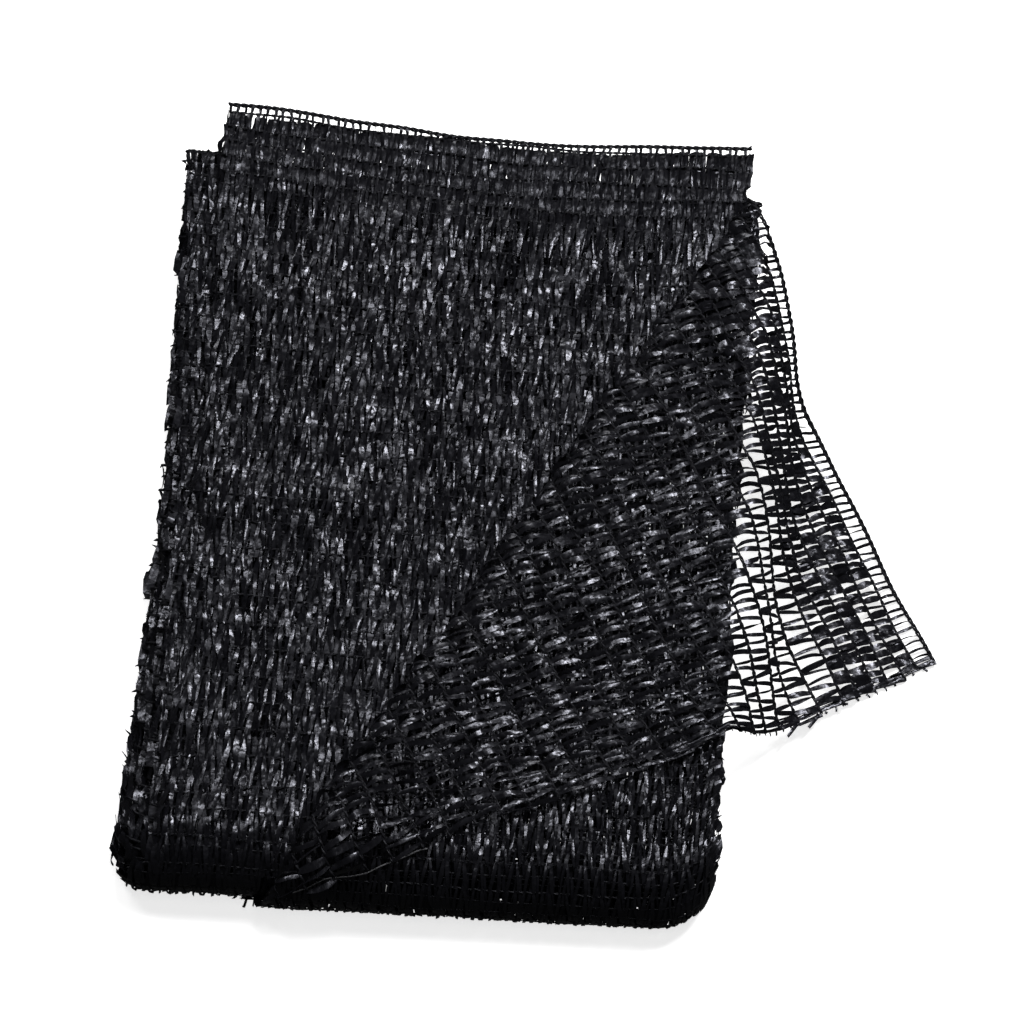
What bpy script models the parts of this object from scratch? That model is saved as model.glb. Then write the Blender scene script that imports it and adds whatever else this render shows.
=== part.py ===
"""Shade netting: a knitted net folded into a flat pack, one corner turned over.

The net is one sheet. Its two selvedges lie together at the back of the pack, on
top, so every layer of the fold is a pair of plies. The pair runs back and forth in
six levels, and the whole is then folded in half, which nests three pairs of turns
in the rounded front. The end of the top ply is turned over along a slanting crease:
its corner hangs over the front, lies across the top and falls over the right side
to the ground. Where it hangs free the knitted openings are cut through.

The sheet is drawn flat, in its own developed plane, and is then laid along the
fold: x runs along the front, v is the distance along the cloth, which equals Y on
the top ply. Lengths are in millimetres, and the mesh is written in metres. The
frame is +X right, +Y back, +Z up, with the origin on the ground under the middle.
"""

import math

import bmesh
import bpy
from mathutils import Vector

MILLIMETRE = 0.001

# Sheet and stack
PLY = 2.4
PITCH = 3.9
PLY_COUNT = 12
GROUND_Z = PLY / 2
MIDDLE_Z = GROUND_Z + (PLY_COUNT - 1) * PITCH / 2

# The order in which the cloth passes the plies, 0 on top; turns are front, back, front ...
ROUTE = (0, 11, 8, 3, 4, 7, 6, 5, 2, 9, 10, 1)
RUN_START_Y = 200.0

# Front turns, and how the settled front leans out at the foot and runs askew
FRONT_TURN_Y = -172.0
FRONT_FULLNESS = 0.6
FRONT_SAG = 0.37
FRONT_SKEW = 0.045
SAG_START_Y = -60.0

BACK_FULLNESS = 0.4
BACK_TURNS = (
    # top ply, bottom ply, y of the turns' common centre
    (2, 5, 168.0),
    (6, 7, 176.0),
    (8, 11, 172.0),
)

# Ends of each ply, top ply first; back and front are at +ENDS_Y and -ENDS_Y
ENDS_Y = 190.0
PLY_ENDS = (
    # left end at back, middle, front; right end at back, middle, front
    (-137.0, -112.0, -94.0, 105.0, 105.0, 107.0),
    (-160.0, -147.0, -139.0, 96.0, 101.0, 104.0),
    (-177.0, -157.0, -144.0, 101.0, 103.0, 105.0),
    (-179.0, -161.0, -148.0, 99.0, 102.0, 104.0),
    (-174.0, -160.0, -153.0, 102.0, 104.0, 106.0),
    (-176.0, -164.0, -157.0, 100.0, 102.0, 107.0),
    (-178.0, -163.0, -160.0, 102.0, 103.0, 108.0),
    (-179.0, -166.0, -162.0, 99.0, 102.0, 107.0),
    (-177.0, -164.0, -164.0, 101.0, 104.0, 109.0),
    (-179.0, -167.0, -162.0, 103.0, 104.0, 110.0),
    (-180.0, -166.0, -163.0, 100.0, 103.0, 109.0),
    (-177.0, -163.0, -118.0, 102.0, 104.0, 108.0),
)

# The free back edge of the second ply, a shallow bow across the pack
FREE_EDGE_Y = 190.0
FREE_EDGE_LOW_X = -15.0
FREE_EDGE_SPAN = 130.0
FREE_EDGE_RISE_LEFT = 5.0
FREE_EDGE_RISE_RIGHT = 7.5

# Turned-over end of the top ply: the crease in the developed plane, the corner as laid
CREASE_FRONT = Vector((-92.0, -211.0))
CREASE_BACK = Vector((103.0, 165.0))
CREASE_RADIUS = 3.6
CREASE_EASE = 34.0
CREASE_STEPS = 6
CORNER_LAID = Vector((222.0, -47.0))
CUT_BOW = 13.0
FLAP_LIFT = 4.6

# How the corner falls over the right side; None is the height of the turned-over part
SHOULDER_X = 107.0
FALL_KNOT_STEPS = 4
FALL_BEND_OUT = 35.0
FALL = (
    # out from the shoulder, height of the net's middle
    (0.0, None),
    (6.0, 44.5),
    (14.0, 33.0),
    (22.0, 18.5),
    (29.0, 12.5),
    (44.0, 9.0),
    (60.0, 4.5),
    (76.0, GROUND_Z),
    (130.0, GROUND_Z),
)

# Knitted openings of the hanging net: the true wales, every second course
WALE = 12.6
WALE_BAR = 3.0
COURSE = 7.6
COURSE_BAR = 2.9
SELVEDGE_CHAIN = 2.4
SELVEDGE_WALE = 8.5
OPENING_MARGIN = 1.5

# Plan of the pack's front corners
ROUND_START_Y = -95.0
FRONT_CORNERS = (
    # x of the side, 1 on the right or -1 on the left, radius
    (109.0, 1, 26.0),
    (-164.0, -1, 20.0),
)
STEEPEST_ROUND = 0.985

# Unevenness of the stack's height, as a share of it
SETTLED = -0.03
FRONT_LEFT_DROP = 0.05
SWELLS = (
    # share, x per radian, y per radian, phase
    (0.018, 58.0, 66.0, 0.2),
    (0.018, 58.0, -66.0, 1.0),
    (0.026, 90.0, 43.0, 1.1),
)

# Places of the mesh's lines across the cloth and on the turned-over part
COLUMNS = (0.0, 0.04, 0.13, 0.33, 0.55, 0.75, 0.87, 0.93, 0.97, 1.0)
TOP_ROWS = 7
LAID_LINES_X = (-60.0, 0.0, 50.0)
LAID_LINES_Y = (-120.0, -50.0, 10.0, 70.0)
CUT_TOLERANCE = 0.02

ORIGIN = Vector((11.76, -4.38, 0.0))

X_AXIS = Vector((1.0, 0.0))
Y_AXIS = Vector((0.0, 1.0))


def blend(low, high, value):
    """Smooth step from 0 at low to 1 at high."""
    t = min(max((value - low) / (high - low), 0.0), 1.0)
    return t * t * (3.0 - 2.0 * t)


def ply_height(ply):
    return GROUND_Z + (PLY_COUNT - 1 - ply) * PITCH


def back_turn_y(ply):
    for top, bottom, y in BACK_TURNS:
        if top <= ply <= bottom:
            return y
    return RUN_START_Y


def ply_ends(ply, y):
    """Left and right ends of a ply's cloth at this y."""
    left_back, left, left_front, right_back, right, right_front = PLY_ENDS[ply]
    share = min(abs(y) / ENDS_Y, 1.0)
    if y > 0.0:
        return left + (left_back - left) * share, right + (right_back - right) * share
    return left + (left_front - left) * share, right + (right_front - right) * share


def round_in(x):
    """How far the front corners draw back at this x."""
    inset = 0.0
    for edge, side, radius in FRONT_CORNERS:
        past = min(max(radius - side * (edge - x), 0.0), radius * STEEPEST_ROUND)
        inset += radius - math.sqrt(radius * radius - past * past)
    return inset


def swell(x, y):
    """How much higher or lower the stack is here, as a share of its height."""
    waves = sum(share * math.sin(x / per_x + y / per_y + phase) for share, per_x, per_y, phase in SWELLS)
    front_left = blend(-95.0, -185.0, x) * blend(40.0, -170.0, y)
    return SETTLED + waves - FRONT_LEFT_DROP * front_left


def settle(x, y, z):
    """Moves a point of the neat stack to where the settled pack has it."""
    lean = FRONT_SKEW * x - FRONT_SAG * (MIDDLE_Z - z)
    settled_y = y + lean * blend(SAG_START_Y, FRONT_TURN_Y, y)
    settled_y += round_in(x) * blend(ROUND_START_Y, FRONT_TURN_Y, y)
    above = max(z - GROUND_Z, 0.0)
    on_pack = 1.0 - blend(SHOULDER_X + 4.0, SHOULDER_X + 30.0, x)
    return Vector((x, settled_y, z + above * swell(x, y) * on_pack))


def free_edge_bow(x):
    """How far the second ply's free edge stands behind its lowest place."""
    rise = FREE_EDGE_RISE_LEFT if x < FREE_EDGE_LOW_X else FREE_EDGE_RISE_RIGHT
    return rise * ((x - FREE_EDGE_LOW_X) / FREE_EDGE_SPAN) ** 2


class Section:
    """The fold seen from its end: the middle of the cloth, with the distance v along it.

    Each point holds y and z in the neat stack, v, the outward direction, the cloth's
    left and right ends, and whether the mesh has a row there.
    """

    FINE = 3

    def __init__(self):
        self.points = []
        for index, ply in enumerate(ROUTE):
            self.pass_ply(index, ply)
        self.measure()

    def pass_ply(self, index, ply):
        """Adds one ply's run, and the turn that leads to the next."""
        to_front = index % 2 == 0
        last = index == len(ROUTE) - 1
        back = FREE_EDGE_Y if last else back_turn_y(ply)
        outer = ply in (0, 1, PLY_COUNT - 1)
        ends = (back, FRONT_TURN_Y) if to_front else (FRONT_TURN_Y, back)
        self.run(ply, *ends, 6 if outer else 3)
        if last:
            return
        following = ROUTE[index + 1]
        wide = abs(following - ply)
        if to_front:
            self.turn(ply, following, FRONT_TURN_Y, -1, FRONT_FULLNESS, 8 if wide > 8 else 5)
        else:
            self.turn(ply, following, back, 1, BACK_FULLNESS, 5 if wide > 1 else 4)

    def add(self, y, z, ends, is_row):
        self.points.append({"y": y, "z": z, "ends": ends, "row": is_row})

    def run(self, ply, y_from, y_to, steps):
        for step in range(steps + 1):
            y = y_from + (y_to - y_from) * step / steps
            self.add(y, ply_height(ply), ply_ends(ply, y), True)

    def turn(self, ply_from, ply_to, centre_y, side, fullness, steps):
        """Half turn between two plies; side is -1 at the front and 1 at the back."""
        z_from, z_to = ply_height(ply_from), ply_height(ply_to)
        centre_z, height = (z_from + z_to) / 2, (z_from - z_to) / 2
        depth = abs(height) + fullness
        start, end = ply_ends(ply_from, centre_y), ply_ends(ply_to, centre_y)
        for step in range(1, steps * self.FINE):
            share = step / (steps * self.FINE)
            eased = blend(0.0, 1.0, share)
            ends = tuple(a + (b - a) * eased for a, b in zip(start, end))
            y = centre_y + side * depth * math.sin(math.pi * share)
            z = centre_z + height * math.cos(math.pi * share)
            self.add(y, z, ends, step % self.FINE == 0)

    def measure(self):
        """Gives each point its v, so that v equals Y on the top ply, and its outward direction."""
        travelled = 0.0
        before = settle(0.0, self.points[0]["y"], self.points[0]["z"])
        for point in self.points:
            here = settle(0.0, point["y"], point["z"])
            travelled += (here - before).length
            before = here
            point["v"] = RUN_START_Y - travelled
        for index, point in enumerate(self.points):
            a = self.points[max(index - 1, 0)]
            b = self.points[min(index + 1, len(self.points) - 1)]
            along = Vector((b["y"] - a["y"], b["z"] - a["z"])).normalized()
            point["out"] = Vector((along.y, -along.x))

    def at(self, v):
        """Middle of the cloth and its outward direction, in the Y-Z plane, at v."""
        low, high = 0, len(self.points) - 1
        while high - low > 1:
            middle = (low + high) // 2
            if self.points[middle]["v"] > v:
                low = middle
            else:
                high = middle
        a, b = self.points[low], self.points[high]
        t = min(max((a["v"] - v) / (a["v"] - b["v"]), 0.0), 1.0)
        place = Vector((a["y"], a["z"])).lerp(Vector((b["y"], b["z"])), t)
        return place, a["out"].lerp(b["out"], t).normalized()


CREASE_LEFT = (CREASE_BACK - CREASE_FRONT).normalized().orthogonal()
CREASE_WIDTH = math.pi * CREASE_RADIUS


def past_crease(point):
    """Distance past the crease, positive on the part that is turned over."""
    return (point - CREASE_FRONT).dot(CREASE_LEFT)


def turned(point):
    """Where a turned-over point of the developed plane is laid, and the other way round."""
    return point - CREASE_LEFT * (2.0 * past_crease(point) - CREASE_WIDTH)


SECTION = Section()
FREE_RUN_V = SECTION.points[-1]["v"] + FREE_EDGE_Y
SHEET_CORNER = turned(CORNER_LAID)
SELVEDGE_ALONG = (CREASE_BACK - SHEET_CORNER).normalized()
SELVEDGE_AWAY = Vector((SELVEDGE_ALONG.y, -SELVEDGE_ALONG.x))
CUT_ALONG = (CREASE_FRONT - SHEET_CORNER).normalized()


def fall_slopes(knots):
    """Slope at each knot of the fall, so that the curve between them never overshoots."""
    slopes = [0.0]
    for a, b, c in zip(knots, knots[1:], knots[2:]):
        before = (b[1] - a[1]) / (b[0] - a[0])
        after = (c[1] - b[1]) / (c[0] - b[0])
        slopes.append(2.0 * before * after / (before + after) if before * after > 0 else 0.0)
    return slopes + [0.0]


def fall_profile():
    """Rows of distance along the falling net, out from the shoulder and height."""
    top = ply_height(0) + FLAP_LIFT
    knots = [(out, top if height is None else height) for out, height in FALL]
    slopes = fall_slopes(knots)
    rows = [(0.0, *knots[0])]
    for a, b, slope_a, slope_b in zip(knots, knots[1:], slopes, slopes[1:]):
        width = b[0] - a[0]
        for step in range(1, FALL_KNOT_STEPS + 1):
            t = step / FALL_KNOT_STEPS
            height = (
                a[1] * (1 + 2 * t) * (1 - t) ** 2
                + slope_a * width * t * (1 - t) ** 2
                + b[1] * t * t * (3 - 2 * t)
                + slope_b * width * t * t * (t - 1)
            )
            out = a[0] + width * t
            travelled, last_out, last_height = rows[-1]
            rows.append((travelled + math.hypot(out - last_out, height - last_height), out, height))
    return rows


FALL_ROWS = fall_profile()


def fallen(distance):
    """Out from the shoulder and height, this far along the falling net."""
    for a, b in zip(FALL_ROWS, FALL_ROWS[1:]):
        if distance <= b[0]:
            break
    t = (distance - a[0]) / (b[0] - a[0])
    return a[1] + (b[1] - a[1]) * t, a[2] + (b[2] - a[2]) * t


def lay(point):
    """Takes a point of the developed plane to its place in the folded pack."""
    past = past_crease(point)
    if point.y < CREASE_FRONT.y or past <= 0.0:
        (y, z), _ = SECTION.at(point.y)
        if point.y < FREE_RUN_V:
            y += free_edge_bow(point.x) * blend(0.0, FREE_EDGE_Y, y)
        return settle(point.x, y, z)
    if past < CREASE_WIDTH:
        angle = past / CREASE_RADIUS
        laid = point - CREASE_LEFT * (past - CREASE_RADIUS * math.sin(angle))
        lift = CREASE_RADIUS * (1.0 - math.cos(angle))
    else:
        laid = turned(point)
        ease = blend(CREASE_WIDTH + CREASE_EASE, CREASE_WIDTH, past)
        lift = FLAP_LIFT + (2.0 * CREASE_RADIUS - FLAP_LIFT) * ease
    (y, z), out = SECTION.at(laid.y)
    y, z = y + out.x * lift, z + out.y * lift
    if laid.x <= SHOULDER_X:
        return settle(laid.x, y, z)
    reach, height = fallen(laid.x - SHOULDER_X)
    return settle(SHOULDER_X + reach, y, height)


def cut_edge_x(v):
    """x of the sheet's cut end beside the top ply; the end is a little bowed."""
    straight = CREASE_FRONT.x + (v - CREASE_FRONT.y) * CUT_ALONG.x / CUT_ALONG.y
    share = (v - CREASE_FRONT.y) / (SHEET_CORNER.y - CREASE_FRONT.y)
    return straight - CUT_BOW * math.sin(math.pi * share)


def selvedge_v(x):
    """v of the sheet's selvedge behind the top ply."""
    return SHEET_CORNER.y + (x - SHEET_CORNER.x) * SELVEDGE_ALONG.y / SELVEDGE_ALONG.x


def left_end(v, left):
    """Left end of the sheet at v: the cut edge down to the crease's tip, then out again."""
    if v > CREASE_FRONT.y:
        return cut_edge_x(v)
    return max(left, CREASE_FRONT.x - (CREASE_FRONT.y - v))


def top_rows(front_v):
    """Rows of the top ply from its selvedge to where the front bend begins."""
    right = PLY_ENDS[0][3]
    rows = []
    for step in range(TOP_ROWS, 0, -1):
        share = step / TOP_ROWS
        left_v = front_v + (SHEET_CORNER.y - front_v) * share
        left = cut_edge_x(left_v)
        row = [Vector((left, left_v))]
        for column in COLUMNS[1:]:
            x = left + (right - left) * column
            row.append(Vector((x, front_v + (selvedge_v(x) - front_v) * share)))
        rows.append(row)
    return rows


def developed_rows():
    """Rows of points of the flat sheet, from the turned-over end's selvedge onwards."""
    bend_v = FRONT_TURN_Y + FRONT_SAG * (ply_height(0) - MIDDLE_Z)
    rows = top_rows(bend_v + TOP_ROWS)
    for point in SECTION.points:
        v = point["v"]
        if not point["row"] or v > bend_v + 1.0:
            continue
        left, right = point["ends"]
        left = left_end(v, left)
        rows.append([Vector((left + (right - left) * column, v)) for column in COLUMNS])
    return rows


def on_top(point):
    return point.y > CREASE_FRONT.y


def is_laid(point):
    return on_top(point) and past_crease(point) > CREASE_WIDTH - CUT_TOLERANCE


def is_hanging(point):
    return is_laid(point) and turned(point).x > SHOULDER_X


def middle(face):
    return face.calc_center_median().to_2d()


def cut(sheet, keep, place, normal):
    """Cuts those of the sheet's faces whose middle passes keep, along a line."""
    faces = [f for f in sheet.faces if keep(middle(f))]
    edges = {e for f in faces for e in f.edges}
    verts = {v for f in faces for v in f.verts}
    bmesh.ops.bisect_plane(
        sheet,
        geom=[*faces, *edges, *verts],
        dist=CUT_TOLERANCE,
        plane_co=place.to_3d(),
        plane_no=normal.to_3d(),
    )


def cut_laid(sheet, place, normal):
    """Cuts the turned-over part along a line that is given as it is laid."""
    start = turned(place)
    cut(sheet, is_laid, start, turned(place + normal) - start)


def cut_bends(sheet):
    """Lines where the turned-over end leaves the plane: its crease, the front and the fall."""
    for step in range(CREASE_STEPS + 1):
        cut(sheet, on_top, CREASE_FRONT + CREASE_LEFT * (CREASE_WIDTH * step / CREASE_STEPS), CREASE_LEFT)
    for share in (0.5, 1.0):
        cut(sheet, is_laid, CREASE_FRONT + CREASE_LEFT * (CREASE_WIDTH + CREASE_EASE * share), CREASE_LEFT)
    for point in SECTION.points:
        if point["row"] and CREASE_FRONT.y - 20.0 < point["v"] < FRONT_TURN_Y + 30.0:
            cut_laid(sheet, Y_AXIS * point["v"], Y_AXIS)
    for x in LAID_LINES_X:
        cut_laid(sheet, X_AXIS * x, X_AXIS)
    for y in LAID_LINES_Y:
        cut_laid(sheet, Y_AXIS * y, Y_AXIS)
    for travelled, out, _ in FALL_ROWS[::FALL_KNOT_STEPS]:
        if out < FALL_BEND_OUT:
            cut_laid(sheet, X_AXIS * (SHOULDER_X + travelled), X_AXIS)


def net_place(along, away):
    """A place in the developed plane, from the corner along the selvedge and away from it."""
    return SHEET_CORNER + SELVEDGE_ALONG * along + SELVEDGE_AWAY * away


def opening_hangs(cell):
    """True for an opening that lies wholly past the shoulder and inside the sheet."""
    for along in cell[:2]:
        for away in cell[2:]:
            place = net_place(along, away)
            if past_crease(place) < CREASE_WIDTH or turned(place).x < SHOULDER_X + OPENING_MARGIN:
                return False
            if place.x < cut_edge_x(place.y) + OPENING_MARGIN:
                return False
    return True


def openings():
    """Knitted openings of the hanging part, as ranges along the selvedge and away from it."""
    selvedge_length = (CREASE_BACK - SHEET_CORNER).length
    cut_length = (CREASE_FRONT - SHEET_CORNER).length
    wales = [(SELVEDGE_CHAIN, SELVEDGE_WALE)]
    while wales[-1][1] < cut_length:
        wales.append((wales[-1][1] + WALE_BAR, wales[-1][1] + WALE))
    first = -math.ceil(CUT_BOW / COURSE)
    courses = [COURSE_BAR + COURSE * n for n in range(first, int(selvedge_length / COURSE))]
    cells = [(c, c + COURSE - COURSE_BAR, near, far) for near, far in wales for c in courses]
    return [cell for cell in cells if opening_hangs(cell)]


def cut_openings(sheet, cells):
    for along in sorted({value for cell in cells for value in cell[:2]}):
        cut(sheet, is_hanging, net_place(along, 0.0), SELVEDGE_ALONG)
    for away in sorted({value for cell in cells for value in cell[2:]}):
        cut(sheet, is_hanging, net_place(0.0, away), SELVEDGE_AWAY)
    inside = []
    for face in sheet.faces:
        offset = middle(face) - SHEET_CORNER
        along, away = offset.dot(SELVEDGE_ALONG), offset.dot(SELVEDGE_AWAY)
        in_cell = any(c[0] < along < c[1] and c[2] < away < c[3] for c in cells)
        if in_cell and is_hanging(middle(face)):
            inside.append(face)
    bmesh.ops.delete(sheet, geom=inside, context="FACES")


def flat_sheet():
    """The sheet in its developed plane, with every line it bends along."""
    sheet = bmesh.new()
    rows = [[sheet.verts.new(p.to_3d()) for p in row] for row in developed_rows()]
    for upper, lower in zip(rows, rows[1:]):
        for a, b, c, d in zip(upper, lower, lower[1:], upper[1:]):
            sheet.faces.new((a, b, c, d))
    cut_bends(sheet)
    cut_openings(sheet, openings())
    bmesh.ops.triangulate(sheet, faces=sheet.faces[:])
    return sheet


def net_material():
    material = bpy.data.materials.new("black_net")
    material.use_nodes = True
    shader = material.node_tree.nodes["Principled BSDF"]
    shader.inputs["Base Color"].default_value = (0.010, 0.010, 0.013, 1.0)
    shader.inputs["Roughness"].default_value = 0.42
    shader.inputs["Metallic"].default_value = 0.0
    return material


def make_net():
    sheet = flat_sheet()
    for vert in sheet.verts:
        vert.co = (lay(vert.co.to_2d()) - ORIGIN) * MILLIMETRE
    mesh = bpy.data.meshes.new("net_sheet")
    sheet.to_mesh(mesh)
    sheet.free()
    mesh.materials.append(net_material())
    net = bpy.data.objects.new("net_sheet", mesh)
    bpy.context.scene.collection.objects.link(net)
    solid = net.modifiers.new("ply_thickness", "SOLIDIFY")
    solid.thickness = PLY * MILLIMETRE
    solid.offset = 0.0


for old in list(bpy.data.objects):
    bpy.data.objects.remove(old)
make_net()
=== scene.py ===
"""Looks of the folded shade netting: the knitted net itself, thread by thread.

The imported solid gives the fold. This script repeats the fold's shape, draws the
net flat in its own plane, and lays every thread along the fold: chains of knitted
loops run along the front, and glossy tapes run back and forth between them.

A flat net point is (x, v, h): x along the front, v along the cloth, which equals Y
on the top ply, and h the height off the middle of the cloth. Lengths are in
millimetres, and the meshes are written in metres.
"""

import math

import bpy
import numpy as np
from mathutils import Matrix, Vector

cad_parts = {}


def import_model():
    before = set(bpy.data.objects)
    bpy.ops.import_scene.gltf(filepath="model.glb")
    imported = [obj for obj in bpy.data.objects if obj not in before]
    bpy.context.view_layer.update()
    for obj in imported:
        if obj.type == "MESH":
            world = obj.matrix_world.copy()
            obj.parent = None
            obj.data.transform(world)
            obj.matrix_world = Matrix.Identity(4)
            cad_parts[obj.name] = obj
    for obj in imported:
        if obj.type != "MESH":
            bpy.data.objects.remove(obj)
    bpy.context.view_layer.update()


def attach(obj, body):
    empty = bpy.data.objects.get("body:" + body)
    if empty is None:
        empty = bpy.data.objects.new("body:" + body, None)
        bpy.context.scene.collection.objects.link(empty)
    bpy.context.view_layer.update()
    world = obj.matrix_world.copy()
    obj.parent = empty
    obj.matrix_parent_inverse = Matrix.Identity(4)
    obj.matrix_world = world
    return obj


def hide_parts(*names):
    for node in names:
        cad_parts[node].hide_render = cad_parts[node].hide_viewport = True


MM = 0.001

# ---------------------------------------------------------------- the fold
PLY = 2.4
PITCH = 3.9
PLY_COUNT = 12
GROUND_Z = PLY / 2
MIDDLE_Z = GROUND_Z + (PLY_COUNT - 1) * PITCH / 2
ROUTE = (0, 11, 8, 3, 4, 7, 6, 5, 2, 9, 10, 1)
RUN_START_Y = 200.0
FRONT_TURN_Y = -172.0
FRONT_FULLNESS = 0.6
FRONT_SAG = 0.37
FRONT_SKEW = 0.045
SAG_START_Y = -60.0
BACK_FULLNESS = 0.4
# Top ply, bottom ply and y of the turns at the back that aren't at the start of the run
BACK_TURNS = ((2, 5, 168.0), (6, 7, 176.0), (8, 11, 172.0))
ENDS_Y = 190.0
# For each ply from the top: left end at the back, the middle and the front, and right end at the same
PLY_ENDS = (
    (-137.0, -112.0, -94.0, 105.0, 105.0, 107.0),
    (-160.0, -147.0, -139.0, 96.0, 101.0, 104.0),
    (-177.0, -157.0, -144.0, 101.0, 103.0, 105.0),
    (-179.0, -161.0, -148.0, 99.0, 102.0, 104.0),
    (-174.0, -160.0, -153.0, 102.0, 104.0, 106.0),
    (-176.0, -164.0, -157.0, 100.0, 102.0, 107.0),
    (-178.0, -163.0, -160.0, 102.0, 103.0, 108.0),
    (-179.0, -166.0, -162.0, 99.0, 102.0, 107.0),
    (-177.0, -164.0, -164.0, 101.0, 104.0, 109.0),
    (-179.0, -167.0, -162.0, 103.0, 104.0, 110.0),
    (-180.0, -166.0, -163.0, 100.0, 103.0, 109.0),
    (-177.0, -163.0, -118.0, 102.0, 104.0, 108.0),
)
FREE_EDGE_Y = 190.0
FREE_EDGE_LOW_X = -15.0
FREE_EDGE_SPAN = 130.0
FREE_EDGE_RISE_LEFT = 5.0
FREE_EDGE_RISE_RIGHT = 7.5
FREE_EDGE_DROOP = 2.5
FREE_EDGE_REACH = 2.6
FREE_EDGE_NEAR = (160.0, 198.0)
FREE_EDGE_BUMP = (70.0, 24.0, 2.2)
CREASE_FRONT = Vector((-92.0, -211.0))
CREASE_BACK = Vector((103.0, 165.0))
CREASE_RADIUS = 3.6
CREASE_EASE = 34.0
CREASE_PUFF = 2.6
CREASE_PUFF_WIDTH = 28.0
CORNER_LAID = Vector((222.0, -47.0))
CUT_BOW = 13.0
FLAP_LIFT = 4.6
SHOULDER_X = 107.0
# Distance out from the shoulder and height, which starts at the turned corner's own
FALL = (
    (0.0, None), (6.0, 44.5), (14.0, 33.0), (22.0, 18.5), (29.0, 12.5),
    (44.0, 9.0), (60.0, 4.5), (76.0, GROUND_Z), (130.0, GROUND_Z),
)
FALL_STEPS = 14
ROUND_START_Y = -95.0
# x, side and radius
FRONT_CORNERS = ((109.0, 1, 26.0), (-164.0, -1, 20.0))
STEEPEST_ROUND = 0.985
SHOULDER_REACH = (4.0, 30.0)
SETTLED = -0.03
FRONT_LEFT_DROP = 0.05
DROP_X, DROP_Y = (-95.0, -185.0), (40.0, -170.0)
# Height of the wave as a share of the pack's, its reach along x and along y, and phase
SWELLS = ((0.018, 58.0, 66.0, 0.2), (0.018, 58.0, -66.0, 1.0), (0.026, 90.0, 43.0, 1.1))
ORIGIN = (11.76, -4.38, 0.0)
FLOOR_GAP = 0.15

CREASE_LEFT = (CREASE_BACK - CREASE_FRONT).normalized().orthogonal()
CREASE_WIDTH = math.pi * CREASE_RADIUS


def blend(low, high, value):
    """Goes smoothly from 0 at low to 1 at high."""
    t = np.clip((value - low) / (high - low), 0.0, 1.0)
    return t * t * (3.0 - 2.0 * t)


def ply_height(ply):
    """Height of the middle of a ply before the pack settles, where ply 0 is the top one."""
    return GROUND_Z + (PLY_COUNT - 1 - ply) * PITCH


def ply_ends(ply, y):
    """Left and right end of a ply at y."""
    lb, lm, lf, rb, rm, rf = PLY_ENDS[ply]
    share = min(abs(y) / ENDS_Y, 1.0)
    if y > 0.0:
        return lm + (lb - lm) * share, rm + (rb - rm) * share
    return lm + (lf - lm) * share, rm + (rf - rm) * share


def round_in(x):
    """How far the front is drawn in at x by its rounded corners."""
    inset = 0.0
    for edge, side, radius in FRONT_CORNERS:
        past = np.clip(radius - side * (edge - x), 0.0, radius * STEEPEST_ROUND)
        inset = inset + radius - np.sqrt(radius * radius - past * past)
    return inset


def settle(x, y, z):
    """Leans and lowers the plain fold into the settled pack."""
    waves = sum(a * np.sin(x / bx + y / by + c) for a, bx, by, c in SWELLS)
    swell = SETTLED + waves - FRONT_LEFT_DROP * blend(*DROP_X, x) * blend(*DROP_Y, y)
    lean = FRONT_SKEW * x - FRONT_SAG * (MIDDLE_Z - z)
    moved = y + lean * blend(SAG_START_Y, FRONT_TURN_Y, y)
    moved = moved + round_in(x) * blend(ROUND_START_Y, FRONT_TURN_Y, y)
    shoulder_from, shoulder_to = SHOULDER_REACH
    on_pack = 1.0 - blend(SHOULDER_X + shoulder_from, SHOULDER_X + shoulder_to, x)
    return np.stack([x, moved, z + np.maximum(z - GROUND_Z, 0.0) * swell * on_pack], axis=-1)


# Which way the left and right end of each ply curls, to meet the ply it is folded to
CURL_RADIUS = 1.9
LEFT_CURLS = (0, -1, 1, -1, 1, -1, 1, -1, 1, -1, 1, 1)
RIGHT_CURLS = (-1, 1, -1, 1, -1, 1, -1, 1, -1, 1, -1, 1)


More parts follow.
